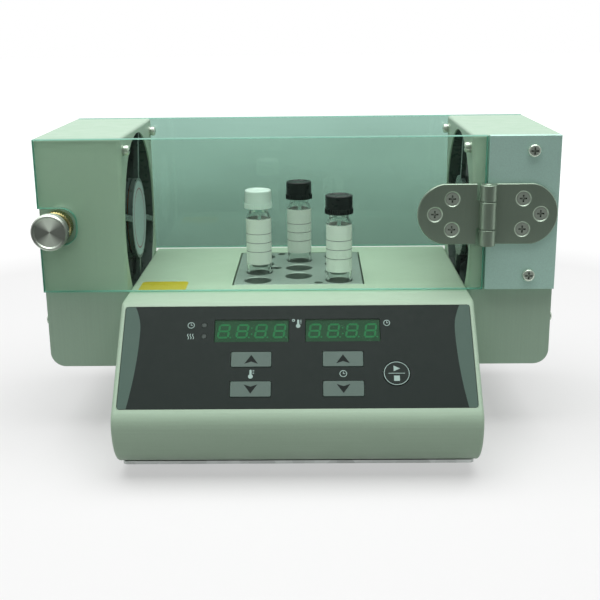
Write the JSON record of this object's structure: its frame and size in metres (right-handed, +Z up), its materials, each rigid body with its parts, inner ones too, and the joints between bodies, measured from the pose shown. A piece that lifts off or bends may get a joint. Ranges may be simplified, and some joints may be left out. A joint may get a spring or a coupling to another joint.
{
  "type": "chemical oxygen demand reactor",
  "caption": "Bench digestion reactor: wedge-fronted console with a bored heating block, vials, two side fan housings, a hinged glass door and a rear glass.",
  "frame": {"origin": "on the table, under the centre of the whole reactor", "axes": "+Z up, +X to the right, +Y to the back; the control panel faces -Y"},
  "size_m": [0.3236, 0.2166, 0.1913],
  "materials": {
    "shell_paint": "fine-texture pale grey-green enamel",
    "sheet_paint": "fine-texture pale grey-green enamel",
    "zinc_sheet": "zinc-plated sheet",
    "foot_rubber": "matt black",
    "screw_steel": "bright plated",
    "overlay_print": "charcoal printed film",
    "window_film": "green tinted film",
    "display_plastic": "dark display face",
    "led_red": "unlit tinted lamp",
    "board_green": "circuit board",
    "key_film": "grey embossed key",
    "block_aluminium": "machined",
    "liner_steel": "stainless sheet",
    "heater_aluminium": "milled",
    "heater_steel": "drawn sheath",
    "wool": "mineral wool",
    "fan_plastic": "black moulded plastic",
    "copper_coil": "enamelled copper",
    "float_glass": "clear float glass with green edges",
    "plate_aluminium": "satin anodised",
    "hinge_steel": "brushed dark stainless",
    "knob_steel": "turned stainless",
    "collar_brass": "knurled brass",
    "vial_glass": "clear borosilicate",
    "cap_white": "white moulded",
    "cap_black": "black moulded",
    "black_plastic": "black moulded"
  },
  "bodies": {
    "base": {"console_shell": "shell_paint", "base_plate": "zinc_sheet", "feet": "foot_rubber", "case_screws": "screw_steel", "membrane_overlay": "overlay_print", "display_windows": "window_film", "display_modules": "display_plastic", "indicator_leds": "led_red", "control_board": "board_green", "board_screws": "screw_steel", "well_liner": "liner_steel", "heater_plate": "heater_aluminium", "cartridge_heaters": "heater_steel", "temperature_probe": "heater_steel", "insulation_jacket": "wool", "heater_bracket": "zinc_sheet", "power_board": "board_green", "left_housing": "sheet_paint", "right_housing": "sheet_paint", "left_side_cover": "sheet_paint", "right_side_cover": "sheet_paint", "housing_screws": "screw_steel", "cable_grommets": "foot_rubber", "left_fan_frame": "fan_plastic", "right_fan_frame": "fan_plastic", "fan_stators": "copper_coil", "fan_screws": "screw_steel", "rear_glass": "float_glass", "rear_glass_screws": "screw_steel", "hinge_plate": "plate_aluminium", "plate_screws": "screw_steel", "hinge_fixed_leaf": "hinge_steel", "hinge_fixed_screws": "screw_steel", "hinge_pin": "hinge_steel", "knob_collar": "collar_brass", "knob_stud": "screw_steel", "power_inlet": "black_plastic", "switch_frame": "black_plastic"},
    "door": {"door_glass": "float_glass", "hinge_door_leaf": "hinge_steel", "hinge_door_screws": "screw_steel"},
    "left_rotor": {"left_fan_rotor": "fan_plastic"},
    "right_rotor": {"right_fan_rotor": "fan_plastic"},
    "temp_up": {"key_temp_up": "key_film"},
    "temp_down": {"key_temp_down": "key_film"},
    "time_up": {"key_time_up": "key_film"},
    "time_down": {"key_time_down": "key_film"},
    "start_stop": {"key_start_stop": "key_film"},
    "block": {"heating_block": "block_aluminium"},
    "left_vial": {"vial_left": "vial_glass", "vial_left_cap": "cap_white"},
    "middle_vial": {"vial_middle": "vial_glass", "vial_middle_cap": "cap_black"},
    "right_vial": {"vial_right": "vial_glass", "vial_right_cap": "cap_black"},
    "knob_bush": {"knob_insert": "collar_brass"},
    "knob_head": {"knob": "knob_steel"},
    "fuse_tray": {"fuse_drawer": "black_plastic"},
    "rocker": {"power_rocker": "black_plastic"}
  },
  "joints": [
    {"name": "door_hinge", "type": "hinge", "parent": "base", "child": "door", "pos_m": [0.1162, -0.03712, 0.1438], "axis": [0, 0, 1], "range_deg": [0, 175]},
    {"name": "left_fan_spin", "type": "hinge", "parent": "base", "child": "left_rotor", "pos_m": [-0.12, 0.03433, 0.1305], "axis": [1, 0, 0], "continuous": true},
    {"name": "right_fan_spin", "type": "hinge", "parent": "base", "child": "right_rotor", "pos_m": [0.12, 0.03433, 0.1305], "axis": [1, 0, 0], "continuous": true},
    {"name": "temp_up_press", "type": "slide", "parent": "base", "child": "temp_up", "axis": [0, 0.7071, -0.7071], "range_m": [0, 0.0005], "stiffness_N_per_m": 1500, "springref_m": -0.0004},
    {"name": "temp_down_press", "type": "slide", "parent": "base", "child": "temp_down", "axis": [0, 0.7071, -0.7071], "range_m": [0, 0.0005], "stiffness_N_per_m": 1500, "springref_m": -0.0004},
    {"name": "time_up_press", "type": "slide", "parent": "base", "child": "time_up", "axis": [0, 0.7071, -0.7071], "range_m": [0, 0.0005], "stiffness_N_per_m": 1500, "springref_m": -0.0004},
    {"name": "time_down_press", "type": "slide", "parent": "base", "child": "time_down", "axis": [0, 0.7071, -0.7071], "range_m": [0, 0.0005], "stiffness_N_per_m": 1500, "springref_m": -0.0004},
    {"name": "start_stop_press", "type": "slide", "parent": "base", "child": "start_stop", "axis": [0, 0.7071, -0.7071], "range_m": [0, 0.0005], "stiffness_N_per_m": 1500, "springref_m": -0.0004},
    {"name": "block_lift", "type": "slide", "parent": "base", "child": "block", "axis": [0, 0, 1], "range_m": [0, 0.06]},
    {"name": "left_vial_lift", "type": "slide", "parent": "block", "child": "left_vial", "axis": [0, 0, 1], "range_m": [0, 0.055]},
    {"name": "middle_vial_lift", "type": "slide", "parent": "block", "child": "middle_vial", "axis": [0, 0, 1], "range_m": [0, 0.055]},
    {"name": "right_vial_lift", "type": "slide", "parent": "block", "child": "right_vial", "axis": [0, 0, 1], "range_m": [0, 0.055]},
    {"name": "knob_travel", "type": "slide", "parent": "base", "child": "knob_bush", "axis": [0, 1, 0], "range_m": [0, 0.002]},
    {"name": "knob_turn", "type": "hinge", "parent": "knob_bush", "child": "knob_head", "pos_m": [-0.149, -0.05033, 0.1376], "axis": [0, 1, 0], "range_deg": [0, 720]},
    {"name": "fuse_drawer_slide", "type": "slide", "parent": "base", "child": "fuse_tray", "axis": [0, 1, 0], "range_m": [0, 0.016]},
    {"name": "power_switch", "type": "hinge", "parent": "base", "child": "rocker", "pos_m": [0.044, 0.10337, 0.05], "axis": [1, 0, 0], "range_deg": [0, 24]}
  ],
  "couplings": [
    {"joint": "knob_turn", "follows": "knob_travel", "rad_per_m": 6283.2}
  ]
}
